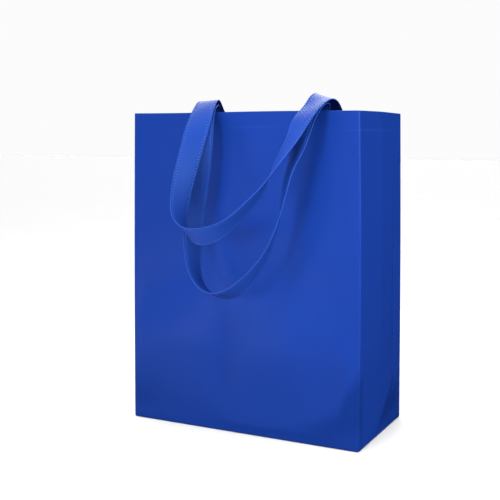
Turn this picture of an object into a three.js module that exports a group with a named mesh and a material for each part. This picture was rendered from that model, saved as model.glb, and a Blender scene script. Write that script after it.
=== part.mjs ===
import * as THREE from 'three';

// Non-woven carrier bag, standing open: one folded and welded body and two flat strap handles.
// Millimetres, +Z up, origin at the centre of the base, front panel towards -Y.

const WIDTH = 300;            // front panel, at mid height
const DEPTH = 150;            // side gusset, at mid height
const HEIGHT = 385;           // base to the folded top edge
const DRAW_IN = 0.016;        // the mouth is drawn in by the hem, the base is spread
const WALL = 0.8;             // one layer of laminated non-woven
const HEM_HEIGHT = 22;        // top edge turned in and welded
const HEM_WALL = 1.6;         // two layers at the hem
const BASE_WALL = 1.6;        // overlapped flaps of the block bottom
const CORNER_R = 3;           // pressed vertical fold
const PANEL_BULGE = 2.4;      // front and back panels belly out a little
const GUSSET_DIP = 2.2;       // gussets dip in along their middle
const LEVELS = 12;            // rings up the wall
const SIDE_STEPS = 10;        // steps along a wide panel
const END_STEPS = 6;          // steps along a gusset
const STRAP_WIDTH = 27;       // folded and welded strap
const STRAP_THICK = 1.6;
const STRAP_STEPS = 3;        // sections between two stations of a strap

// Stations along each strap, from the left weld to the right weld: [outer edge, inner edge].
const FRONT_STRAP_EDGES = [
  [[-85.5, -71.5, 305.0], [-58.5, -71.5, 305.0]],
  [[-85.5, -71.5, 321.0], [-58.5, -71.5, 321.0]],
  [[-85.5, -71.5, 335.0], [-58.5, -71.5, 335.0]],
  [[-85.5, -71.5, 345.0], [-58.5, -71.5, 345.0]],
  [[-84.7, -63.5, 361.6], [-57.7, -64.1, 360.7]],
  [[-81.8, -47.2, 373.3], [-55.8, -45.7, 366.2]],
  [[-74.0, -44.5, 389.7], [-49.6, -37.6, 380.7]],
  [[-65.0, -59.6, 395.2], [-40.2, -49.8, 392.0]],
  [[-58.7, -77.0, 389.4], [-33.2, -68.5, 391.7]],
  [[-53.4, -93.4, 380.1], [-27.8, -85.0, 382.1]],
  [[-48.7, -106.0, 365.9], [-24.3, -94.4, 365.2]],
  [[-45.6, -113.3, 348.0], [-23.7, -97.7, 345.8]],
  [[-45.1, -116.4, 328.5], [-24.9, -98.7, 326.0]],
  [[-46.9, -116.9, 309.0], [-26.8, -99.1, 306.2]],
  [[-49.7, -117.1, 289.6], [-30.0, -98.9, 286.5]],
  [[-51.4, -119.0, 270.1], [-33.6, -98.9, 266.9]],
  [[-49.9, -123.0, 251.0], [-35.5, -100.5, 247.2]],
  [[-45.6, -128.4, 232.7], [-35.0, -104.1, 227.6]],
  [[-39.7, -134.6, 215.1], [-33.2, -109.3, 208.3]],
  [[-30.1, -141.0, 199.3], [-27.5, -115.7, 190.4]],
  [[-16.2, -146.7, 186.9], [-13.6, -121.5, 177.6]],
  [[1.9, -150.6, 181.6], [5.2, -125.5, 172.1]],
  [[20.5, -151.4, 186.4], [24.5, -127.0, 175.6]],
  [[36.6, -149.9, 197.3], [39.7, -124.7, 188.1]],
  [[50.7, -147.0, 210.7], [49.8, -120.7, 204.6]],
  [[62.4, -143.2, 226.0], [57.4, -116.9, 222.5]],
  [[71.1, -139.4, 243.4], [63.4, -113.6, 241.1]],
  [[77.7, -135.9, 261.8], [67.9, -110.8, 260.0]],
  [[82.7, -132.6, 280.7], [69.2, -109.3, 279.6]],
  [[86.9, -129.2, 299.9], [70.8, -107.6, 299.0]],
  [[91.5, -125.0, 318.9], [73.8, -104.6, 318.1]],
  [[98.5, -118.3, 336.6], [76.7, -102.4, 337.1]],
  [[103.5, -110.2, 354.4], [77.0, -105.4, 356.2]],
  [[105.9, -100.3, 372.0], [79.0, -99.6, 373.5]],
  [[107.6, -85.7, 386.1], [80.9, -83.3, 383.1]],
  [[107.4, -66.4, 393.1], [80.5, -66.6, 392.3]],
  [[103.2, -47.7, 387.9], [76.9, -48.9, 394.3]],
  [[95.0, -44.4, 371.9], [69.0, -44.1, 379.2]],
  [[89.1, -59.8, 363.3], [62.3, -57.5, 365.7]],
  [[85.5, -71.5, 345.0], [58.5, -71.5, 345.0]],
  [[85.5, -71.5, 335.0], [58.5, -71.5, 335.0]],
  [[85.5, -71.5, 321.0], [58.5, -71.5, 321.0]],
  [[85.5, -71.5, 305.0], [58.5, -71.5, 305.0]],
];
const BACK_STRAP_EDGES = [
  [[-85.5, 71.5, 305.0], [-58.5, 71.5, 305.0]],
  [[-85.5, 71.5, 321.0], [-58.5, 71.5, 321.0]],
  [[-85.5, 71.5, 335.0], [-58.5, 71.5, 335.0]],
  [[-85.5, 71.5, 345.0], [-58.5, 71.5, 345.0]],
  [[-85.1, 63.9, 360.6], [-58.2, 65.7, 361.6]],
  [[-83.6, 46.3, 368.1], [-56.9, 49.3, 370.1]],
  [[-81.6, 28.0, 373.6], [-54.8, 31.2, 374.1]],
  [[-79.2, 9.8, 379.1], [-52.5, 12.9, 377.3]],
  [[-76.5, -8.2, 384.9], [-50.0, -5.4, 380.8]],
  [[-73.4, -26.0, 391.2], [-47.1, -23.1, 385.8]],
  [[-69.3, -43.8, 396.9], [-42.9, -39.3, 394.1]],
  [[-64.2, -61.8, 397.4], [-38.0, -56.5, 399.7]],
  [[-58.8, -78.7, 391.4], [-32.4, -73.6, 394.3]],
  [[-54.6, -94.6, 382.8], [-28.3, -88.3, 382.6]],
  [[-52.2, -108.4, 370.7], [-27.2, -98.9, 366.7]],
  [[-51.1, -119.8, 355.9], [-28.8, -106.1, 349.2]],
  [[-50.6, -129.0, 339.4], [-31.2, -112.0, 331.3]],
  [[-50.6, -137.3, 322.4], [-33.7, -118.1, 313.6]],
  [[-49.7, -145.5, 305.3], [-35.5, -124.5, 296.0]],
  [[-46.9, -154.1, 288.7], [-35.8, -131.6, 278.5]],
  [[-41.3, -163.1, 273.2], [-33.5, -139.9, 261.6]],
  [[-29.5, -171.2, 261.6], [-26.1, -149.0, 246.5]],
  [[-12.8, -175.5, 256.1], [-11.8, -156.8, 236.5]],
  [[5.3, -175.8, 257.1], [7.0, -156.7, 238.1]],
  [[22.6, -173.8, 262.2], [22.6, -151.0, 247.7]],
  [[37.7, -168.9, 271.5], [34.5, -144.3, 260.9]],
  [[50.4, -162.8, 283.8], [45.4, -137.8, 274.9]],
  [[62.3, -156.4, 296.9], [54.8, -131.5, 289.7]],
  [[72.9, -149.5, 311.2], [60.8, -125.9, 306.3]],
  [[82.1, -142.0, 326.2], [65.2, -121.1, 323.5]],
  [[91.1, -133.1, 340.9], [70.8, -115.4, 339.7]],
  [[99.3, -123.8, 356.2], [76.2, -109.9, 355.8]],
  [[105.2, -112.6, 371.5], [79.7, -104.1, 371.9]],
  [[108.4, -97.6, 384.1], [82.3, -90.9, 382.8]],
  [[110.5, -80.3, 393.2], [83.9, -75.8, 392.2]],
  [[111.3, -61.6, 397.7], [84.7, -60.8, 402.3]],
  [[109.7, -42.5, 396.4], [84.2, -43.1, 405.2]],
  [[106.7, -24.2, 391.7], [80.7, -26.2, 398.9]],
  [[102.7, -6.4, 386.2], [76.3, -10.4, 390.2]],
  [[98.5, 11.3, 381.4], [72.0, 6.2, 382.7]],
  [[94.1, 29.3, 377.9], [67.8, 23.6, 376.6]],
  [[89.9, 47.1, 374.7], [63.7, 41.3, 371.1]],
  [[86.8, 63.4, 366.9], [60.3, 58.9, 364.4]],
  [[85.5, 71.5, 345.0], [58.5, 71.5, 345.0]],
  [[85.5, 71.5, 335.0], [58.5, 71.5, 335.0]],
  [[85.5, 71.5, 321.0], [58.5, 71.5, 321.0]],
  [[85.5, 71.5, 305.0], [58.5, 71.5, 305.0]],
];

// Section of the bag at height z, inset by the wall, counter-clockwise from above.
function ring(z, inset) {
  const k = 1 + DRAW_IN / 2 - (DRAW_IN * Math.min(z, HEIGHT)) / HEIGHT;
  const hw = (WIDTH / 2) * k - inset;
  const hd = (DEPTH / 2) * k - inset;
  const r = Math.max(CORNER_R - inset, 0.8);
  const swell = Math.sin((Math.PI * Math.min(z, HEIGHT)) / HEIGHT);
  const pts = [];
  const side = (ax, ay, bx, by, steps, nx, ny, wide) => {
    for (let i = 0; i < steps; i++) {
      const t = i / steps;
      const s = 2 * t - 1;
      const push = wide ? PANEL_BULGE * swell * (1 - s * s) : -GUSSET_DIP * swell * (1 - Math.abs(s));
      pts.push(new THREE.Vector2(ax + (bx - ax) * t + nx * push, ay + (by - ay) * t + ny * push));
    }
  };
  const arc = (cx, cy, a0) => {
    const c = new THREE.EllipseCurve(cx, cy, r, r, a0, a0 + Math.PI / 2, false, 0);
    const q = c.getPoints(3);
    for (let i = 0; i < q.length - 1; i++) pts.push(q[i]);
  };
  side(-hw + r, -hd, hw - r, -hd, SIDE_STEPS, 0, -1, true);
  arc(hw - r, -hd + r, -Math.PI / 2);
  side(hw, -hd + r, hw, hd - r, END_STEPS, 1, 0, false);
  arc(hw - r, hd - r, 0);
  side(hw - r, hd, -hw + r, hd, SIDE_STEPS, 0, 1, true);
  arc(-hw + r, hd - r, Math.PI / 2);
  side(-hw, hd - r, -hw, -hd + r, END_STEPS, -1, 0, false);
  arc(-hw + r, -hd + r, Math.PI);
  return pts;
}

// Closed loft through a list of rings, capped at both ends.
function loft(rings) {
  const n = rings[0].length;
  const pos = [];
  const idx = [];
  rings.forEach((q) => q.forEach((p) => pos.push(p.x, p.y, p.z)));
  for (let j = 0; j < rings.length - 1; j++) {
    for (let i = 0; i < n; i++) {
      const a = j * n + i;
      const b = j * n + ((i + 1) % n);
      idx.push(a, b, b + n, a, b + n, a + n);
    }
  }
  const cap = (j, flip) => {
    const q = rings[j].map((p) => new THREE.Vector2(p.x, p.y));
    THREE.ShapeUtils.triangulateShape(q, []).forEach((f) => {
      if (flip) idx.push(j * n + f[0], j * n + f[2], j * n + f[1]);
      else idx.push(j * n + f[0], j * n + f[1], j * n + f[2]);
    });
  };
  cap(0, true);
  cap(rings.length - 1, false);
  const g = new THREE.BufferGeometry();
  g.setAttribute('position', new THREE.Float32BufferAttribute(pos, 3));
  g.setIndex(idx);
  g.computeVertexNormals();
  return g;
}

function bodyGeometry() {
  const at = (z, inset) => ring(z, inset).map((p) => new THREE.Vector3(p.x, p.y, z));
  const rings = [];
  for (let j = 0; j <= LEVELS; j++) rings.push(at((HEIGHT * j) / LEVELS, 0));
  rings.push(at(HEIGHT, HEM_WALL));
  rings.push(at(HEIGHT - HEM_HEIGHT, HEM_WALL));
  rings.push(at(HEIGHT - HEM_HEIGHT, WALL));
  for (let j = LEVELS - 1; j >= 1; j--) rings.push(at((HEIGHT * j) / LEVELS, WALL));
  rings.push(at(BASE_WALL, WALL));
  return loft(rings);
}

// Flat strap through its stations: a rectangular section carried along the two edge curves.
function strapGeometry(stations) {
  const outer = new THREE.CatmullRomCurve3(stations.map((s) => new THREE.Vector3(...s[0])), false, 'catmullrom', 0.5);
  const inner = new THREE.CatmullRomCurve3(stations.map((s) => new THREE.Vector3(...s[1])), false, 'catmullrom', 0.5);
  const count = (stations.length - 1) * STRAP_STEPS;
  const pos = [];
  const idx = [];
  for (let i = 0; i <= count; i++) {
    const t = i / count;
    const a = outer.getPoint(t);
    const b = inner.getPoint(t);
    const c = a.clone().add(b).multiplyScalar(0.5);
    const w = b.clone().sub(a).normalize();
    const d = outer.getTangent(t).add(inner.getTangent(t)).normalize();
    const n = d.clone().cross(w).normalize();
    const put = (u, v) => {
      const p = c.clone().addScaledVector(w, (u * STRAP_WIDTH) / 2).addScaledVector(n, (v * STRAP_THICK) / 2);
      pos.push(p.x, p.y, p.z);
    };
    put(-1, -1);
    put(1, -1);
    put(1, 1);
    put(-1, 1);
  }
  for (let i = 0; i < count; i++) {
    for (let k = 0; k < 4; k++) {
      const a = i * 4 + k;
      const b = i * 4 + ((k + 1) % 4);
      idx.push(a, b, b + 4, a, b + 4, a + 4);
    }
  }
  const e = count * 4;
  idx.push(0, 2, 1, 0, 3, 2, e, e + 1, e + 2, e, e + 2, e + 3);
  const g = new THREE.BufferGeometry();
  g.setAttribute('position', new THREE.Float32BufferAttribute(pos, 3));
  g.setIndex(idx);
  g.computeVertexNormals();
  return g;
}

function piece(name, geometry, colour, roughness) {
  const m = new THREE.Mesh(geometry, new THREE.MeshStandardMaterial({ color: colour, roughness, metalness: 0 }));
  m.name = name;
  return m;
}

const bag = new THREE.Group();
bag.name = 'carrier_bag';
bag.add(piece('bag_body', bodyGeometry(), 0x2448aa, 0.55));
bag.add(piece('front_handle', strapGeometry(FRONT_STRAP_EDGES), 0x2b54c1, 0.6));
bag.add(piece('back_handle', strapGeometry(BACK_STRAP_EDGES), 0x2b54c1, 0.6));

export default bag;
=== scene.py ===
"""A blue non-woven plastic carrier bag standing open, with its two strap handles fallen forward over the front edge."""

import math

import bpy
import numpy as np
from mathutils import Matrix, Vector


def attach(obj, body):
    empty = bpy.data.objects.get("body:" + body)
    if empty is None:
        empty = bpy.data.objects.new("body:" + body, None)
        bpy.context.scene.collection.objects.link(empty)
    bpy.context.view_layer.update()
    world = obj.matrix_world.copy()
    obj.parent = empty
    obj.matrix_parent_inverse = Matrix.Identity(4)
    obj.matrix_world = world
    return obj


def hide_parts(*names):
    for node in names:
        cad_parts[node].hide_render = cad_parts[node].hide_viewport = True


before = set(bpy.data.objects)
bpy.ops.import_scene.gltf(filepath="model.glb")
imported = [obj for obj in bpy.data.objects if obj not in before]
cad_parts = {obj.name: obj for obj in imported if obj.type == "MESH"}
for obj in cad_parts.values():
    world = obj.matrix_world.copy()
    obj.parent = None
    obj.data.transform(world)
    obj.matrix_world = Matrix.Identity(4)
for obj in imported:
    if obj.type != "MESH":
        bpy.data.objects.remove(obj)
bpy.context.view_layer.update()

MM = 0.001
WIDTH, DEPTH, HEIGHT = 300.0, 150.0, 385.0
DRAW_IN = 0.016          # the hem draws the mouth in, the base spreads
FOLD_R = 2.0             # pressed vertical fold
FOOT_R = 1.6             # fold between wall and base
SHEET = 0.5              # one layer
HEM = 22.0               # turned-in hem
HEM_T = 1.1              # two layers at the hem
STRAP_W = 27.0
STRAP_T = 1.6

# Stations along each strap, weld to weld: (outer edge, inner edge), in millimetres.
FRONT_STRAP = [
    ((-85.5, -71.5, 305.0), (-58.5, -71.5, 305.0)),
    ((-85.5, -71.5, 321.0), (-58.5, -71.5, 321.0)),
    ((-85.5, -71.5, 335.0), (-58.5, -71.5, 335.0)),
    ((-85.5, -71.5, 345.0), (-58.5, -71.5, 345.0)),
    ((-84.7, -63.5, 361.6), (-57.7, -64.1, 360.7)),
    ((-81.8, -47.2, 373.3), (-55.8, -45.7, 366.2)),
    ((-74.0, -44.5, 389.7), (-49.6, -37.6, 380.7)),
    ((-65.0, -59.6, 395.2), (-40.2, -49.8, 392.0)),
    ((-58.7, -77.0, 389.4), (-33.2, -68.5, 391.7)),
    ((-53.4, -93.4, 380.1), (-27.8, -85.0, 382.1)),
    ((-48.7, -106.0, 365.9), (-24.3, -94.4, 365.2)),
    ((-45.6, -113.3, 348.0), (-23.7, -97.7, 345.8)),
    ((-45.1, -116.4, 328.5), (-24.9, -98.7, 326.0)),
    ((-46.9, -116.9, 309.0), (-26.8, -99.1, 306.2)),
    ((-49.7, -117.1, 289.6), (-30.0, -98.9, 286.5)),
    ((-51.4, -119.0, 270.1), (-33.6, -98.9, 266.9)),
    ((-49.9, -123.0, 251.0), (-35.5, -100.5, 247.2)),
    ((-45.6, -128.4, 232.7), (-35.0, -104.1, 227.6)),
    ((-39.7, -134.6, 215.1), (-33.2, -109.3, 208.3)),
    ((-30.1, -141.0, 199.3), (-27.5, -115.7, 190.4)),
    ((-16.2, -146.7, 186.9), (-13.6, -121.5, 177.6)),
    ((1.9, -150.6, 181.6), (5.2, -125.5, 172.1)),
    ((20.5, -151.4, 186.4), (24.5, -127.0, 175.6)),
    ((36.6, -149.9, 197.3), (39.7, -124.7, 188.1)),
    ((50.7, -147.0, 210.7), (49.8, -120.7, 204.6)),
    ((62.4, -143.2, 226.0), (57.4, -116.9, 222.5)),
    ((71.1, -139.4, 243.4), (63.4, -113.6, 241.1)),
    ((77.7, -135.9, 261.8), (67.9, -110.8, 260.0)),
    ((82.7, -132.6, 280.7), (69.2, -109.3, 279.6)),
    ((86.9, -129.2, 299.9), (70.8, -107.6, 299.0)),
    ((91.5, -125.0, 318.9), (73.8, -104.6, 318.1)),
    ((98.5, -118.3, 336.6), (76.7, -102.4, 337.1)),
    ((103.5, -110.2, 354.4), (77.0, -105.4, 356.2)),
    ((105.9, -100.3, 372.0), (79.0, -99.6, 373.5)),
    ((107.6, -85.7, 386.1), (80.9, -83.3, 383.1)),
    ((107.4, -66.4, 393.1), (80.5, -66.6, 392.3)),
    ((103.2, -47.7, 387.9), (76.9, -48.9, 394.3)),
    ((95.0, -44.4, 371.9), (69.0, -44.1, 379.2)),
    ((89.1, -59.8, 363.3), (62.3, -57.5, 365.7)),
    ((85.5, -71.5, 345.0), (58.5, -71.5, 345.0)),
    ((85.5, -71.5, 335.0), (58.5, -71.5, 335.0)),
    ((85.5, -71.5, 321.0), (58.5, -71.5, 321.0)),
    ((85.5, -71.5, 305.0), (58.5, -71.5, 305.0)),
]

BACK_STRAP = [
    ((-85.5, 71.5, 305.0), (-58.5, 71.5, 305.0)),
    ((-85.5, 71.5, 321.0), (-58.5, 71.5, 321.0)),
    ((-85.5, 71.5, 335.0), (-58.5, 71.5, 335.0)),
    ((-85.5, 71.5, 345.0), (-58.5, 71.5, 345.0)),
    ((-85.1, 63.9, 360.6), (-58.2, 65.7, 361.6)),
    ((-83.6, 46.3, 368.1), (-56.9, 49.3, 370.1)),
    ((-81.6, 28.0, 373.6), (-54.8, 31.2, 374.1)),
    ((-79.2, 9.8, 379.1), (-52.5, 12.9, 377.3)),
    ((-76.5, -8.2, 384.9), (-50.0, -5.4, 380.8)),
    ((-73.4, -26.0, 391.2), (-47.1, -23.1, 385.8)),
    ((-69.3, -43.8, 396.9), (-42.9, -39.3, 394.1)),
    ((-64.2, -61.8, 397.4), (-38.0, -56.5, 399.7)),
    ((-58.8, -78.7, 391.4), (-32.4, -73.6, 394.3)),
    ((-54.6, -94.6, 382.8), (-28.3, -88.3, 382.6)),
    ((-52.2, -108.4, 370.7), (-27.2, -98.9, 366.7)),
    ((-51.1, -119.8, 355.9), (-28.8, -106.1, 349.2)),
    ((-50.6, -129.0, 339.4), (-31.2, -112.0, 331.3)),
    ((-50.6, -137.3, 322.4), (-33.7, -118.1, 313.6)),
    ((-49.7, -145.5, 305.3), (-35.5, -124.5, 296.0)),
    ((-46.9, -154.1, 288.7), (-35.8, -131.6, 278.5)),
    ((-41.3, -163.1, 273.2), (-33.5, -139.9, 261.6)),
    ((-29.5, -171.2, 261.6), (-26.1, -149.0, 246.5)),
    ((-12.8, -175.5, 256.1), (-11.8, -156.8, 236.5)),
    ((5.3, -175.8, 257.1), (7.0, -156.7, 238.1)),
    ((22.6, -173.8, 262.2), (22.6, -151.0, 247.7)),
    ((37.7, -168.9, 271.5), (34.5, -144.3, 260.9)),
    ((50.4, -162.8, 283.8), (45.4, -137.8, 274.9)),
    ((62.3, -156.4, 296.9), (54.8, -131.5, 289.7)),
    ((72.9, -149.5, 311.2), (60.8, -125.9, 306.3)),
    ((82.1, -142.0, 326.2), (65.2, -121.1, 323.5)),
    ((91.1, -133.1, 340.9), (70.8, -115.4, 339.7)),
    ((99.3, -123.8, 356.2), (76.2, -109.9, 355.8)),
    ((105.2, -112.6, 371.5), (79.7, -104.1, 371.9)),
    ((108.4, -97.6, 384.1), (82.3, -90.9, 382.8)),
    ((110.5, -80.3, 393.2), (83.9, -75.8, 392.2)),
    ((111.3, -61.6, 397.7), (84.7, -60.8, 402.3)),
    ((109.7, -42.5, 396.4), (84.2, -43.1, 405.2)),
    ((106.7, -24.2, 391.7), (80.7, -26.2, 398.9)),
    ((102.7, -6.4, 386.2), (76.3, -10.4, 390.2)),
    ((98.5, 11.3, 381.4), (72.0, 6.2, 382.7)),
    ((94.1, 29.3, 377.9), (67.8, 23.6, 376.6)),
    ((89.9, 47.1, 374.7), (63.7, 41.3, 371.1)),
    ((86.8, 63.4, 366.9), (60.3, 58.9, 364.4)),
    ((85.5, 71.5, 345.0), (58.5, 71.5, 345.0)),
    ((85.5, 71.5, 335.0), (58.5, 71.5, 335.0)),
    ((85.5, 71.5, 321.0), (58.5, 71.5, 321.0)),
    ((85.5, 71.5, 305.0), (58.5, 71.5, 305.0)),
]


# ---------------------------------------------------------------- small helpers
def smooth(a, b, x):
    t = np.clip((np.asarray(x, float) - a) / (b - a), 0.0, 1.0)
    return t * t * (3.0 - 2.0 * t)


def bump(x, z, cx, cz, sx, sz, turn=0.0):
    """Soft round swelling: sx and sz are its half widths, turned by turn degrees."""
    c, s = math.cos(math.radians(turn)), math.sin(math.radians(turn))
    u = (x - cx) * c + (z - cz) * s
    v = -(x - cx) * s + (z - cz) * c
    return np.exp(-0.5 * ((u / sx) ** 2 + (v / sz) ** 2))


def spline(pts, n):
    """Natural cubic spline through evenly numbered points, and its slope."""
    p = np.asarray(pts, float)
    m = len(p)
    a = np.zeros((m, m))
    b = np.zeros_like(p)
    a[0, 0] = a[-1, -1] = 1.0
    for i in range(1, m - 1):
        a[i, i - 1], a[i, i], a[i, i + 1] = 1.0, 4.0, 1.0
        b[i] = 6.0 * (p[i + 1] - 2.0 * p[i] + p[i - 1])
    k = np.linalg.solve(a, b)
    t = np.linspace(0.0, m - 1.0, n)
    i = np.minimum(t.astype(int), m - 2)
    f = (t - i)[:, None]
    q = (k[i] * (1 - f) ** 3 + k[i + 1] * f**3) / 6 + (p[i] - k[i] / 6) * (1 - f) + (p[i + 1] - k[i + 1] / 6) * f
    d = (-k[i] * (1 - f) ** 2 + k[i + 1] * f**2) / 2 - (p[i] - k[i] / 6) + (p[i + 1] - k[i + 1] / 6)
    return q, d


def ridge(x, z, path, inner, outer):
    """Height of a soft ridge along a path: 1 on the path, falling over inner mm on its left side and outer mm on its right."""
    q, _ = spline(path, 120)
    a, b = q[:-1], q[1:]
    ab = b - a
    shape = x.shape
    px = np.stack([x.ravel(), z.ravel()], 1)
    best = np.full(len(px), 1e9)
    sign = np.ones(len(px))
    along = np.zeros(len(px))
    for i in range(len(a)):
        t = np.clip(((px - a[i]) @ ab[i]) / (ab[i] @ ab[i]), 0, 1)
        d = px - (a[i] + t[:, None] * ab[i])
        r = np.hypot(d[:, 0], d[:, 1])
        near = r < best
        best[near] = r[near]
        sign[near] = np.sign(ab[i][0] * d[near, 1] - ab[i][1] * d[near, 0])
        along[near] = (i + t[near]) / len(a)
    w = np.where(sign > 0, inner, outer)
    fade = smooth(0.0, 0.16, along) * (1 - smooth(0.84, 1.0, along))
    return (np.exp(-best / w) * (1 + best / w) * fade).reshape(shape)


def wander(x, z, seed, wave, count=6):
    """Sum of a few long sine waves in fixed random directions, about -1 to 1."""
    rng = np.random.default_rng(seed)
    out = 0.0
    for _ in range(count):
        a = rng.uniform(0, math.tau)
        w = wave * rng.uniform(0.7, 1.5)
        out = out + np.sin((x * math.cos(a) + z * math.sin(a)) * math.tau / w + rng.uniform(0, math.tau))
    return out / count


def mesh_object(name, verts, faces, uv=None, attrs=()):
    me = bpy.data.meshes.new(name)
    me.from_pydata([tuple(v) for v in verts], [], [tuple(f) for f in faces])
    if uv is not None:
        layer = me.uv_layers.new(name="UVMap")
        flat = np.asarray(uv, np.float32).reshape(-1)
        layer.data.foreach_set("uv", flat)
    for key, values in attrs:
        at = me.attributes.new(key, "FLOAT", "POINT")
        at.data.foreach_set("value", np.asarray(values, np.float32))
    me.validate()
    me.update()
    me.shade_smooth()
    o = bpy.data.objects.new(name, me)
    bpy.context.scene.collection.objects.link(o)
    return o


# ---------------------------------------------------------------- the bag body
def front_relief(x, z):
    """How far the front panel stands out from flat, in millimetres."""
    # limp lower half: one broad oval swelling, with smaller ones left and right of a shallow upright hollow
    r2 = (((x + 2) / 158.0) ** 2 + ((z - 112 + 0.10 * x) / 116.0) ** 2) * (1 + 0.22 * wander(x, z, 41, 190))
    h = 8.0 * np.clip(1 - r2, 0, None) ** 2
    h = h + 1.0 * bump(x, z, 10, 230, 90, 80)
    h = h + 4.6 * bump(x, z, -90, 112, 42, 26, 14)
    h = h + 4.2 * bump(x, z, 66, 106, 34, 34)
    h = h - 5.2 * bump(x, z, -12, 100, 15, 44, -8)
    # its rim runs round the lower right
    h = h + 2.2 * ridge(x, z, [(70, 196), (100, 152), (128, 112), (138, 76), (128, 48), (100, 28), (58, 16), (10, 14), (-30, 26), (-58, 66), (-84, 100)], 9.0, 12.0)
    # soft fold at the left edge
    h = h - 2.6 * ridge(x, z, [(-165, 140), (-140, 158), (-112, 175), (-86, 188), (-55, 192)], 16.0, 14.0)
    # small puckers above the swelling and below the hem
    h = h - 1.0 * ridge(x, z, [(84, 208), (84, 182), (88, 160), (104, 142), (118, 130)], 5.0, 5.0)
    h = h + 1.4 * bump(x, z, 12, 358, 11, 30, 8) - 1.2 * bump(x, z, 38, 372, 12, 16)
    h = h + 0.45 * wander(x, z, 11, 90) + 0.14 * wander(x, z, 12, 34)
    return h


def back_relief(x, z):
    h = 1.8 * bump(x, z, -15, 180, 110, 140)
    h = h + 0.8 * wander(x, z, 23, 150) + 0.2 * wander(x, z, 24, 60)
    return h


def base_fold(y):
    """Height of the slanting crease above the base on a side gusset, y from front to back."""
    return np.interp(y, [-75, -40, -10, 20, 46, 75], [-8, -2, 16, 38, 52, 58])


def gusset_relief(y, z, side):
    """Side gusset: the faint middle crease, the slanting crease above the base, the dented corner behind it and a small pinch. y runs from front to back."""
    h = 0.9 * np.exp(-np.abs(y + 2) / 20.0) * smooth(60, 150, z)
    under = base_fold(y) - z
    h = h + 0.8 * np.exp(-np.abs(under) / 12.0) * smooth(-50, -15, y)
    h = h - 3.4 * smooth(-10, 34, under) * smooth(-40, 30, y)
    h = h - 1.5 * bump(y, z, 47, 51, 3.2, 7.0, 16) + 0.7 * bump(y, z, 56, 46, 3.2, 6.0, 16)
    h = h - 0.7 * np.exp(-np.abs(y - 46) / 4.0) * smooth(50, 110, z) * (1 - smooth(260, 340, z))
    h = h + 0.5 * wander(y * 1.0, z, 31 if side > 0 else 37, 110)
    return h


def painted_low_shade(p):
    """Painted shade, 0 to 1: a low band round the bag, the front's lower corners below the rim of its swelling, its
    upright hollow, and the gussets' dented corners and pinch behind the slanting crease.
    """
    x, y, z = p[..., 0], p[..., 1], p[..., 2]
    rough = 0.5 * wander(x + y, z, 43, 60)
    strip = 0.08 * smooth(5, 30, z) * (1 - smooth(70, 130, z + 14 * rough)) + 0.10 * bump(x, z, -15, 96, 9, 38, -6) * (y < 0)
    rim = np.interp(x, [-150, -118, -100, -84, -60, -30, 10, 58, 100, 128, 138, 150], [66, 56, 48, 40, 28, 20, 13, 15, 27, 47, 72, 90])
    soft = np.interp(x, [-150, -60, 0, 90, 150], [3.4, 2.6, 1.4, 1.3, 1.2])
    wide = smooth(-9, 17, (rim - z + 10 * rough) / soft) * (0.16 + np.where(x > 0, 0.20, 0.14) * smooth(60, 112, np.abs(x))) * (0.4 + 0.6 * smooth(0, 34, z)) * smooth(60, 70, -y)
    tri = 0.50 * smooth(-14, 26, base_fold(y) - z + 6 * rough) * smooth(-36, 44, y)
    tri = np.maximum(tri, 0.55 * bump(y, z, 47, 51, 2.4, 6.0, 16)) * smooth(138, 146, np.abs(x))
    return np.clip(strip + np.maximum(wide, tri), 0, 1)


def corner(k, z):
    """The four upright folds, front-left, front-right, back-right, back-left."""
    s = 1 + DRAW_IN / 2 - DRAW_IN * z / HEIGHT
    hw, hd = WIDTH / 2 * s, DEPTH / 2 * s
    bow = np.sin(np.pi * np.clip(z / HEIGHT, 0, 1))
    sx = (-1, 1, 1, -1)[k]
    sy = (-1, -1, 1, 1)[k]
    dx = (0.5, 1.6, 0.6, 0.8)[k] * bow
    dy = (0.4, 0.2, 0.4, 0.5)[k] * bow
    return np.stack([sx * (hw + dx), sy * (hd + dy)], -1)


PANELS = ((0, 1, "front"), (1, 2, "right"), (2, 3, "back"), (3, 0, "left"))


def columns(count):
    """Even steps across a panel with closer ones by the folds."""
    t = np.linspace(0, 1, count)
    return t - 0.045 * np.sin(2 * np.pi * t)


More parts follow.
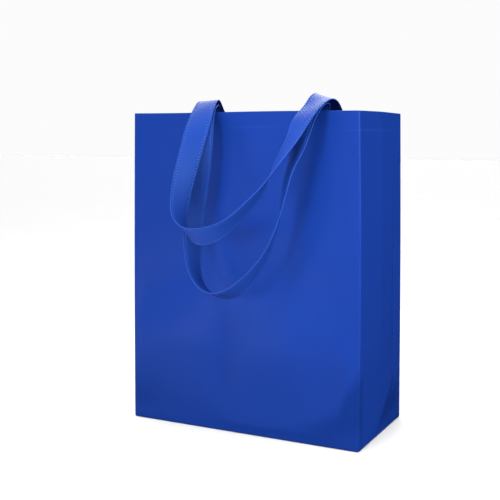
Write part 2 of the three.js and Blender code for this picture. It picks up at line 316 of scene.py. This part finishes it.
def ring(z, inset):
    """Section of the bag at the heights z (rows), moved in by inset (rows): rows x columns x 3."""
    z = np.asarray(z, float)
    inset = np.asarray(inset, float)
    cs = []
    for k in range(4):
        c = corner(k, z)
        c = c - np.stack([np.sign(c[:, 0]) * inset, np.sign(c[:, 1]) * inset], -1)
        cs.append(c)
    out = []
    fold = []
    for i, j, label in PANELS:
        a, b = cs[i], cs[j]
        d = b - a
        length = np.linalg.norm(d, axis=1)[:, None]
        n = np.stack([d[:, 1], -d[:, 0]], -1) / length
        count = 96 if label in ("front", "back") else 50
        r0 = FOLD_R / length
        t = r0 + (1 - 2 * r0) * columns(count)[None, :]
        s = t * length
        e = np.minimum(s, length - s)
        zz = np.broadcast_to(z[:, None], s.shape)
        if label == "front":
            h = front_relief(s - length / 2, zz)
        elif label == "back":
            h = back_relief(length / 2 - s, zz)
        elif label == "right":
            h = gusset_relief(s - length / 2, zz, 1)
        else:
            h = gusset_relief(length / 2 - s, zz, -1)
        h = h * smooth(FOLD_R, 16.0, e) * smooth(0.0, 14.0, zz)
        h = h * (1.0 - 0.55 * smooth(HEIGHT - 30, HEIGHT, zz))
        p = a[:, None] + t[..., None] * d[:, None] + n[:, None] * h[..., None]
        out.append(p)
        fold.append(np.exp(-((e[0] - FOLD_R) / 1.4) ** 2))
        # the fold itself, a short rounded turn round the corner
        c = cs[j]
        q0 = p[:, -1]
        k2 = (j + 1) % 4
        d2 = cs[k2] - c
        q2 = c + d2 / np.linalg.norm(d2, axis=1)[:, None] * FOLD_R
        for f in (0.25, 0.5, 0.75):
            out.append(((1 - f) ** 2 * q0 + 2 * f * (1 - f) * c + f * f * q2)[:, None])
            fold.append(np.ones(1))
    p = np.concatenate(out, 1)
    zz = np.broadcast_to(z[:, None, None], p.shape[:2] + (1,))
    return np.concatenate([p, zz], 2), np.concatenate(fold)


def build_body():
    foot = [0.0, 0.12, 0.45, 0.95]
    wall = list(np.linspace(FOOT_R, HEIGHT - HEM - 4, 112)) + list(np.linspace(HEIGHT - HEM - 2, HEIGHT - HEM + 2, 4)) + list(np.linspace(HEIGHT - HEM + 5, HEIGHT - 0.6, 7))
    lip_z = [HEIGHT - 0.18, HEIGHT, HEIGHT, HEIGHT - 0.18]
    lip_i = [0.16, 0.45, HEM_T - 0.45, HEM_T - 0.16]
    hem_in = list(np.linspace(HEIGHT - 0.6, HEIGHT - HEM + 0.3, 8))
    inner = list(np.linspace(HEIGHT - HEM - 0.2, 1.4, 80))
    z = np.array(foot + wall + lip_z + hem_in + [HEIGHT - HEM] + inner)
    f = np.array(foot)
    fi = FOOT_R - np.sqrt(np.maximum(0, FOOT_R**2 - (FOOT_R - f) ** 2))
    inset = np.concatenate([fi, np.zeros(len(wall)), lip_i, np.full(len(hem_in), HEM_T), [HEM_T - 0.2], np.full(len(inner), SHEET)])
    p, fold = ring(z, inset)
    rows, cols = p.shape[:2]
    # the top edge is not quite level
    x, y = p[..., 0], p[..., 1]
    lift = 0.5 * np.sin(x / 47.0 + 0.6) + 0.35 * np.sin(y / 31.0 + x / 90.0)
    p[..., 2] += lift * smooth(HEIGHT - 90, HEIGHT, p[..., 2])
    verts = [p.reshape(-1, 3)]
    crease = [(fold[None, :] * smooth(45, 170, z)[:, None]).reshape(-1)]
    # painted shade low on the bag, kept as a vertex attribute
    low_shade = [painted_low_shade(p).reshape(-1)]
    seg = np.linalg.norm(np.diff(np.concatenate([p[40], p[40][:1]], 0)[:, :2], axis=0), axis=1)
    u = np.concatenate([[0], np.cumsum(seg)])
    v = z.copy()
    up_to = len(foot) + len(wall) + 2
    v[up_to:] = 2 * HEIGHT - v[up_to:]
    faces, uvs = [], []
    for r in range(rows - 1):
        for c in range(cols):
            d = (c + 1) % cols
            faces.append((r * cols + c, r * cols + d, (r + 1) * cols + d, (r + 1) * cols + c))
            uvs += [(u[c], v[r]), (u[c + 1], v[r]), (u[c + 1], v[r + 1]), (u[c], v[r + 1])]
    total = rows * cols

    def close(row, z_of, flip):
        """Base: rings drawn in to a middle point."""
        nonlocal total
        steps = [0.93, 0.8, 0.6, 0.4, 0.2]
        prev = row * cols
        edge = p[row]
        for s in steps:
            q = edge * np.array([s, s, 1.0])
            q[:, 2] = z_of(q[:, 0], q[:, 1], s)
            verts.append(q)
            crease.append(np.zeros(cols))
            # the base gets a little of the painted shade too
            low_shade.append(np.full(cols, 0.2))
            for c in range(cols):
                d = (c + 1) % cols
                a, b, e, g = prev + c, prev + d, total + d, total + c
                faces.append((a, g, e, b) if not flip else (a, b, e, g))
                uvs.extend([(u[c], -20 * s)] * 4)
            prev = total
            total += cols
        verts.append(np.array([[0, 0, z_of(np.zeros(1), np.zeros(1), 0.0)[0]]]))
        crease.append(np.zeros(1))
        low_shade.append(np.full(1, 0.2))
        for c in range(cols):
            d = (c + 1) % cols
            faces.append((prev + c, total, prev + d) if not flip else (prev + c, prev + d, total))
            uvs.extend([(u[c], 0.0)] * 3)
        total += 1

    close(0, lambda a, b, s: np.zeros_like(a) + 0.0, False)
    close(rows - 1, lambda a, b, s: np.zeros_like(a) + 1.1, True)
    verts = np.concatenate(verts) * MM
    return mesh_object("bag_skin", verts, faces, np.array(uvs) * MM, [("crease", np.concatenate(crease)), ("painted_low_shade", np.concatenate(low_shade))])


# ---------------------------------------------------------------- the strap handles
def build_strap(name, stations, seed, shaded_run=None):
    n = 14 * (len(stations) - 1) + 1
    e1, d1 = spline([s[0] for s in stations], n)
    e2, d2 = spline([s[1] for s in stations], n)
    c = (e1 + e2) / 2
    t = d1 + d2
    t /= np.linalg.norm(t, axis=1)[:, None]
    w = e2 - e1
    w -= (w * t).sum(1)[:, None] * t
    w /= np.linalg.norm(w, axis=1)[:, None]
    nrm = np.cross(t, w)
    run = np.concatenate([[0], np.cumsum(np.linalg.norm(np.diff(c, axis=0), axis=1))])
    hw = STRAP_W / 2
    # half section from edge to middle: distance from the middle, half thickness
    prof = [(hw, 0.18), (hw - 0.08, 0.42), (hw - 0.3, 0.62), (hw - 0.8, 0.72), (hw - 1.5, 0.74), (hw - 2.0, 0.66), (hw - 2.35, 0.48), (hw - 2.7, 0.66), (hw - 3.3, 0.76), (hw - 4.5, 0.8), (hw - 7.0, 0.8), (hw - 10.0, 0.8)]
    top = [(-a, b) for a, b in prof] + [(0.0, 0.8)] + prof[::-1]
    sec = top + [(a, -b) for a, b in top[::-1]]
    m = len(sec)
    rng = np.random.default_rng(seed)
    ph = rng.uniform(0, math.tau, 6)
    wave = 0.12 * np.sin(run / 23.0 + ph[0]) + 0.08 * np.sin(run / 9.0 + ph[1])
    cup = 0.25 * np.sin(run / 61.0 + ph[2]) + 0.12 * np.sin(run / 27.0 + ph[3])
    ends = smooth(0, 60, run) * smooth(0, 60, run[-1] - run)
    verts, uv_v = [], []
    for i in range(n):
        for a, b in sec:
            s = a / hw
            off = b + ends[i] * cup[i] * (s * s - 0.4)
            verts.append(c[i] + w[i] * (a + wave[i] * s * s * s * 0.6) + nrm[i] * off)
    faces, uvs = [], []
    vs = [a for a, _ in sec]
    for i in range(n - 1):
        for k in range(m):
            l = (k + 1) % m
            faces.append((i * m + k, (i + 1) * m + k, (i + 1) * m + l, i * m + l))
            uvs += [(run[i], vs[k]), (run[i + 1], vs[k]), (run[i + 1], vs[l]), (run[i], vs[l])]
    faces.append(tuple(range(m)))
    uvs += [(0.0, a) for a in vs]
    faces.append(tuple((n - 1) * m + k for k in reversed(range(m))))
    uvs += [(run[-1], a) for a in reversed(vs)]
    # painted highlight: a thin pale line along each edge of the strap
    rim = np.tile([float(np.exp(-((hw - abs(a)) / 0.22) ** 2)) for a, _ in sec], n)
    # painted shadow: a darker stretch of the strap, where the front strap's left strand lies behind the back strap's
    # strand and is shaded by it
    flat = np.zeros(n) if shaded_run is None else smooth(shaded_run[0], shaded_run[0] + 30, run) * (1 - smooth(shaded_run[1] - 30, shaded_run[1], run))
    o = mesh_object(name, np.array(verts) * MM, faces, np.array(uvs) * MM, [("rim", rim), ("painted_shadow", np.repeat(flat, m))])
    return o, run[-1] * MM


# ---------------------------------------------------------------- materials
def tree_of(name):
    m = bpy.data.materials.new(name)
    m.use_nodes = True
    t = m.node_tree
    return m, t, t.nodes["Principled BSDF"]


def add(t, kind, **kw):
    n = t.nodes.new(kind)
    for k, v in kw.items():
        setattr(n, k, v)
    return n


def math_node(t, op, a, b=None, c=None):
    n = add(t, "ShaderNodeMath", operation=op)
    for i, v in enumerate((a, b, c)):
        if v is None:
            continue
        if isinstance(v, (int, float)):
            n.inputs[i].default_value = v
        else:
            t.links.new(v, n.inputs[i])
    return n.outputs[0]


def mix_colour(t, fac, a, b):
    n = add(t, "ShaderNodeMix", data_type="RGBA")
    t.links.new(fac, n.inputs["Factor"])
    for socket, v in ((n.inputs[6], a), (n.inputs[7], b)):
        if isinstance(v, tuple):
            socket.default_value = v
        else:
            t.links.new(v, socket)
    return n.outputs[2]


def noise(t, vector, scale, detail=3.0, rough=0.55):
    n = add(t, "ShaderNodeTexNoise")
    n.inputs["Scale"].default_value = scale
    n.inputs["Detail"].default_value = detail
    n.inputs["Roughness"].default_value = rough
    t.links.new(vector, n.inputs["Vector"])
    return n.outputs["Fac"]


def pulses(t, coord, pitch, sharp):
    """Row of soft dots along a coordinate in metres."""
    s = math_node(t, "SINE", math_node(t, "MULTIPLY", coord, math.tau / pitch))
    return math_node(t, "POWER", math_node(t, "MULTIPLY_ADD", s, 0.5, 0.5), sharp)


def band(t, coord, centre, half):
    """1 on a line at the coordinate, falling to 0 at half width."""
    d = math_node(t, "ABSOLUTE", math_node(t, "SUBTRACT", coord, centre))
    n = add(t, "ShaderNodeMapRange", interpolation_type="SMOOTHSTEP")
    t.links.new(d, n.inputs["Value"])
    n.inputs["From Min"].default_value = 0.0
    n.inputs["From Max"].default_value = half
    n.inputs["To Min"].default_value = 1.0
    n.inputs["To Max"].default_value = 0.0
    return n.outputs["Result"]


def spunbond(t, u, v, pitch):
    """Point-bonded lattice of a non-woven: small dimples in staggered rows."""
    a = math_node(t, "SINE", math_node(t, "MULTIPLY", math_node(t, "ADD", u, v), math.tau / pitch))
    b = math_node(t, "SINE", math_node(t, "MULTIPLY", math_node(t, "SUBTRACT", u, v), math.tau / pitch))
    return math_node(t, "MULTIPLY_ADD", math_node(t, "MULTIPLY", a, b), 0.5, 0.5)


def diagonal(t, u, v, pitch):
    """Fine slanting lattice of a folded non-woven strap."""
    a = math_node(t, "SINE", math_node(t, "MULTIPLY", u, math.tau / pitch))
    b = math_node(t, "SINE", math_node(t, "MULTIPLY", v, math.tau / pitch))
    return math_node(t, "MULTIPLY_ADD", math_node(t, "MULTIPLY", a, b), 0.5, 0.5)


def bag_material():
    m, t, p = tree_of("bag_fabric")
    uv = add(t, "ShaderNodeUVMap", uv_map="UVMap").outputs["UV"]
    sep = add(t, "ShaderNodeSeparateXYZ")
    t.links.new(uv, sep.inputs[0])
    u, v = sep.outputs["X"], sep.outputs["Y"]
    obj = add(t, "ShaderNodeTexCoord").outputs["Object"]
    big = noise(t, obj, 9.0, 3.0)
    fine = noise(t, uv, 900.0, 2.0, 0.6)
    col = mix_colour(t, big, (0.0023, 0.0134, 0.0979, 1), (0.0027, 0.0155, 0.1115, 1))
    # painted shade: darker towards the bottom, in the front's lower corners and upright hollow, and on the gussets'
    # dented corners
    low = add(t, "ShaderNodeAttribute", attribute_name="painted_low_shade").outputs["Fac"]
    low = math_node(t, "MULTIPLY", low, math_node(t, "MULTIPLY_ADD", noise(t, obj, 26.0, 3.0), 0.6, 0.7))
    col = mix_colour(t, low, col, (0.0011, 0.0062, 0.0400, 1))
    # weld row of the hem, clear in the middle of the front, and the pressed line of its inner edge
    mid = band(t, u, 0.176, 0.060)
    weld = math_node(t, "MULTIPLY", band(t, v, 0.3668, 0.0015), pulses(t, u, 0.0048, 1.2))
    weld = math_node(t, "MULTIPLY", weld, math_node(t, "MULTIPLY_ADD", mid, 0.8, 0.2))
    col = mix_colour(t, math_node(t, "MULTIPLY", weld, 0.42), col, (0.0072, 0.0300, 0.165, 1))
    line = math_node(t, "MULTIPLY", band(t, v, 0.3632, 0.0011), band(t, u, 0.352, 0.150))
    col = mix_colour(t, math_node(t, "MULTIPLY", line, 0.5), col, (0.0066, 0.0290, 0.165, 1))
    # the upright folds are a little paler, fading out towards the bottom
    cre = add(t, "ShaderNodeAttribute", attribute_name="crease").outputs["Fac"]
    cre = math_node(t, "MULTIPLY", cre, math_node(t, "MULTIPLY", noise(t, obj, 16.0, 2.0), 0.22))
    col = mix_colour(t, cre, col, (0.0051, 0.0231, 0.1428, 1))
    t.links.new(col, p.inputs["Base Color"])
    # the specular is turned down where that shade is painted, so the sheen is duller there too
    shine = add(t, "ShaderNodeMapRange")
    t.links.new(low, shine.inputs["Value"])
    shine.inputs["From Min"].default_value = 0.02
    shine.inputs["From Max"].default_value = 0.40
    shine.inputs["To Min"].default_value = 0.052
    shine.inputs["To Max"].default_value = 0.018
    t.links.new(shine.outputs["Result"], p.inputs["Specular IOR Level"])
    rough = add(t, "ShaderNodeMapRange")
    t.links.new(noise(t, obj, 40.0, 3.0), rough.inputs["Value"])
    rough.inputs["To Min"].default_value = 0.30
    rough.inputs["To Max"].default_value = 0.37
    t.links.new(rough.outputs["Result"], p.inputs["Roughness"])
    h = math_node(t, "MULTIPLY_ADD", spunbond(t, u, v, 0.0050), -0.25, math_node(t, "MULTIPLY", fine, 0.5))
    h = math_node(t, "MULTIPLY_ADD", weld, -3.0, h)
    b = add(t, "ShaderNodeBump")
    b.inputs["Strength"].default_value = 0.35
    b.inputs["Distance"].default_value = 0.00012
    t.links.new(h, b.inputs["Height"])
    t.links.new(b.outputs["Normal"], p.inputs["Normal"])
    return m


def strap_material(name, tone):
    m, t, p = tree_of(name)
    uv = add(t, "ShaderNodeUVMap", uv_map="UVMap").outputs["UV"]
    sep = add(t, "ShaderNodeSeparateXYZ")
    t.links.new(uv, sep.inputs[0])
    u, v = sep.outputs["X"], sep.outputs["Y"]
    big = noise(t, uv, 40.0, 3.0)
    fine = noise(t, uv, 1500.0, 2.0, 0.6)
    lattice = diagonal(t, u, v, 0.0044)
    col = mix_colour(t, big, tuple(c * tone for c in (0.0041, 0.0198, 0.1333)) + (1,), tuple(c * tone for c in (0.0049, 0.0228, 0.1510)) + (1,))
    col = mix_colour(t, math_node(t, "MULTIPLY", lattice, 0.45), col, (0.0022, 0.0122, 0.0890, 1))
    # painted shadow on the stretch of the front strap shaded by the back strap; the weld row fades in it
    painted_shadow = add(t, "ShaderNodeAttribute", attribute_name="painted_shadow").outputs["Fac"]
    col = mix_colour(t, math_node(t, "MULTIPLY", painted_shadow, 0.46), col, (0.0016, 0.0092, 0.0720, 1))
    # weld row just inside each edge: pale between the points, dark in them
    av = math_node(t, "ABSOLUTE", v)
    row = math_node(t, "MULTIPLY", band(t, av, 0.0109, 0.0018), math_node(t, "MULTIPLY_ADD", painted_shadow, -0.65, 1.0))
    point = pulses(t, u, 0.0036, 0.9)
    dots = math_node(t, "MULTIPLY", row, point)
    col = mix_colour(t, math_node(t, "MULTIPLY", row, 0.75), col, (0.0130, 0.0470, 0.2450, 1))
    col = mix_colour(t, math_node(t, "MULTIPLY", dots, 1.0), col, (0.0009, 0.0055, 0.0450, 1))
    # painted highlight along each edge
    rim = add(t, "ShaderNodeAttribute", attribute_name="rim").outputs["Fac"]
    col = mix_colour(t, math_node(t, "MULTIPLY", rim, 0.22), col, (0.0082, 0.0313, 0.1700, 1))
    t.links.new(col, p.inputs["Base Color"])
    p.inputs["Specular IOR Level"].default_value = 0.11
    p.inputs["Specular Tint"].default_value = (0.55, 0.95, 1.0, 1)
    rough = add(t, "ShaderNodeMapRange")
    t.links.new(big, rough.inputs["Value"])
    rough.inputs["To Min"].default_value = 0.46
    rough.inputs["To Max"].default_value = 0.58
    t.links.new(rough.outputs["Result"], p.inputs["Roughness"])
    h = math_node(t, "MULTIPLY_ADD", lattice, -0.9, math_node(t, "MULTIPLY", fine, 0.5))
    h = math_node(t, "MULTIPLY_ADD", dots, -2.0, h)
    b = add(t, "ShaderNodeBump")
    b.inputs["Strength"].default_value = 0.6
    b.inputs["Distance"].default_value = 0.00025
    t.links.new(h, b.inputs["Height"])
    t.links.new(b.outputs["Normal"], p.inputs["Normal"])
    return m


def floor_material():
    m, t, p = tree_of("pale_floor")
    obj = add(t, "ShaderNodeTexCoord").outputs["Object"]
    col = mix_colour(t, noise(t, obj, 3.0, 2.0), (0.36, 0.36, 0.36, 1), (0.375, 0.375, 0.375, 1))
    t.links.new(col, p.inputs["Base Color"])
    p.inputs["Roughness"].default_value = 0.9
    p.inputs["Specular IOR Level"].default_value = 0.1
    return m


# ---------------------------------------------------------------- put it together
body = build_body()
body.data.materials.append(bag_material())
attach(body, "root")
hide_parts("bag_body")

# the front strap is painted darker from 120 to 330 mm along its run, as shadow
front, front_len = build_strap("front_strap", FRONT_STRAP, 3, (120.0, 330.0))
front.data.materials.append(strap_material("front_strap", 1.0))
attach(front, "root")
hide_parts("front_handle")

back, back_len = build_strap("back_strap", BACK_STRAP, 5)
back.data.materials.append(strap_material("back_strap", 1.0))
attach(back, "root")
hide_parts("back_handle")
print("strap lengths", round(front_len, 3), round(back_len, 3))

me = bpy.data.meshes.new("floor")
S = 14.0
me.from_pydata([(-S, -S, 0), (S, -S, 0), (S, S, 0), (-S, S, 0)], [], [(0, 1, 2, 3)])
floor = bpy.data.objects.new("floor", me)
floor.location = (0, 0, -0.0004)
bpy.context.scene.collection.objects.link(floor)
floor.data.materials.append(floor_material())
floor.visible_glossy = False

# the floor just in front of the bag, which the lower half of the front panel mirrors
me = bpy.data.meshes.new("floor_front")
me.from_pydata([(-1.3, -0.80, 0), (0.5, -0.80, 0), (0.5, -0.10, 0), (-1.3, -0.10, 0)], [], [(0, 1, 2, 3)])
apron = bpy.data.objects.new("floor_front", me)
apron.location = (0, 0, -0.0003)
bpy.context.scene.collection.objects.link(apron)
apron.data.materials.append(floor.data.materials[0])

# ---------------------------------------------------------------- light
world = bpy.data.worlds.new("studio")
bpy.context.scene.world = world
world.use_nodes = True
bg = world.node_tree.nodes["Background"]
bg.inputs["Color"].default_value = (1.0, 1.0, 1.0, 1)
bg.inputs["Strength"].default_value = 0.97
world.cycles_visibility.glossy = False
bpy.context.scene.cycles.use_light_tree = False   # keeps the lights left out of reflections out of them


def aim(left, up):
    """Unit vector from the bag towards a light, left degrees to the left of the front panel's normal and up degrees above level."""
    a, e = math.radians(left), math.radians(up)
    return Vector((-math.sin(a) * math.cos(e), -math.cos(a) * math.cos(e), math.sin(e)))


def place(name, data, d, spot):
    o = bpy.data.objects.new(name, data)
    o.location = spot
    o.rotation_euler = d.to_track_quat("Z", "Y").to_euler()
    bpy.context.scene.collection.objects.link(o)
    return o


def softbox(name, left, up, size, power, away=1.4):
    """Round soft light that faces the bag."""
    d = aim(left, up)
    L = bpy.data.lights.new(name, "AREA")
    L.shape = "DISK"
    L.size = size
    L.energy = power
    return place(name, L, d, Vector((0, -0.1, 0.22)) + d * away)


def sun(name, left, up, angle, strength):
    """Distant soft light."""
    d = aim(left, up)
    L = bpy.data.lights.new(name, "SUN")
    L.angle = math.radians(angle)
    L.energy = strength
    return place(name, L, d, d * 3.0)


def gridded(name, left, up, size, power, target):
    """Soft light with a honeycomb grid, aimed at a spot on the front panel."""
    o = softbox(name, left, up, size, power)
    o.data.spread = math.radians(45)
    o.rotation_euler = (o.location - Vector(target)).to_track_quat("Z", "Y").to_euler()
    o.visible_glossy = False


UPPER, MIDDLE = (0.10, -0.075, 0.31), (0.20, -0.075, 0.33)
gridded("key", 3, 4, 0.32, 1.30, MIDDLE)
gridded("key_high", -3, 40, 0.60, 1.36, MIDDLE)
gridded("key_far", 20, 8, 0.34, 0.30, UPPER)
gridded("near_fill", -30, 10, 0.24, 0.60, UPPER)
softbox("right_box", -50, 25, 0.4, 1.9, 0.75)
softbox("right", -65, 10, 0.6, 2.8)
softbox("side", -82, 8, 0.6, 14.5)
softbox("side_high", -84, 18, 0.4, 15.0)
softbox("left", 55, 30, 0.8, 11.6).visible_glossy = False
softbox("left_high", 90, 45, 0.8, 11.2).visible_glossy = False
softbox("strip", 26, 0, 0.20, 1.1)
for name, spot, target, power in (("low_card", (-0.18, -0.47, 0.03), (0.02, -0.075, 0.12), 1.28), ("left_card", (-0.34, -0.46, 0.04), (-0.10, -0.075, 0.13), 1.00)):
    card = softbox(name, 0, 0, 0.30, power)
    card.location = spot
    card.visible_glossy = False
    card.rotation_euler = (Vector(spot) - Vector(target)).to_track_quat("Z", "Y").to_euler()
sun("overhead", 0, 89, 70, 3.3)
sun("rim", 160, 35, 40, 3.0)

# ---------------------------------------------------------------- camera
cam = bpy.data.cameras.new("camera")
cam.sensor_width = 36.0
cam.lens = 905.2 / 500 * 36.0
cam.shift_y = -0.1
cam.clip_end = 60
eye = bpy.data.objects.new("camera", cam)
eye.location = (0.4936, -1.0216, 0.3536)
eye.rotation_euler = (math.radians(90 - 3.89), 0, math.radians(26.89))
bpy.context.scene.collection.objects.link(eye)
bpy.context.scene.camera = eye
bpy.context.scene.view_settings.view_transform = "Standard"
bpy.context.scene.view_settings.look = "None"
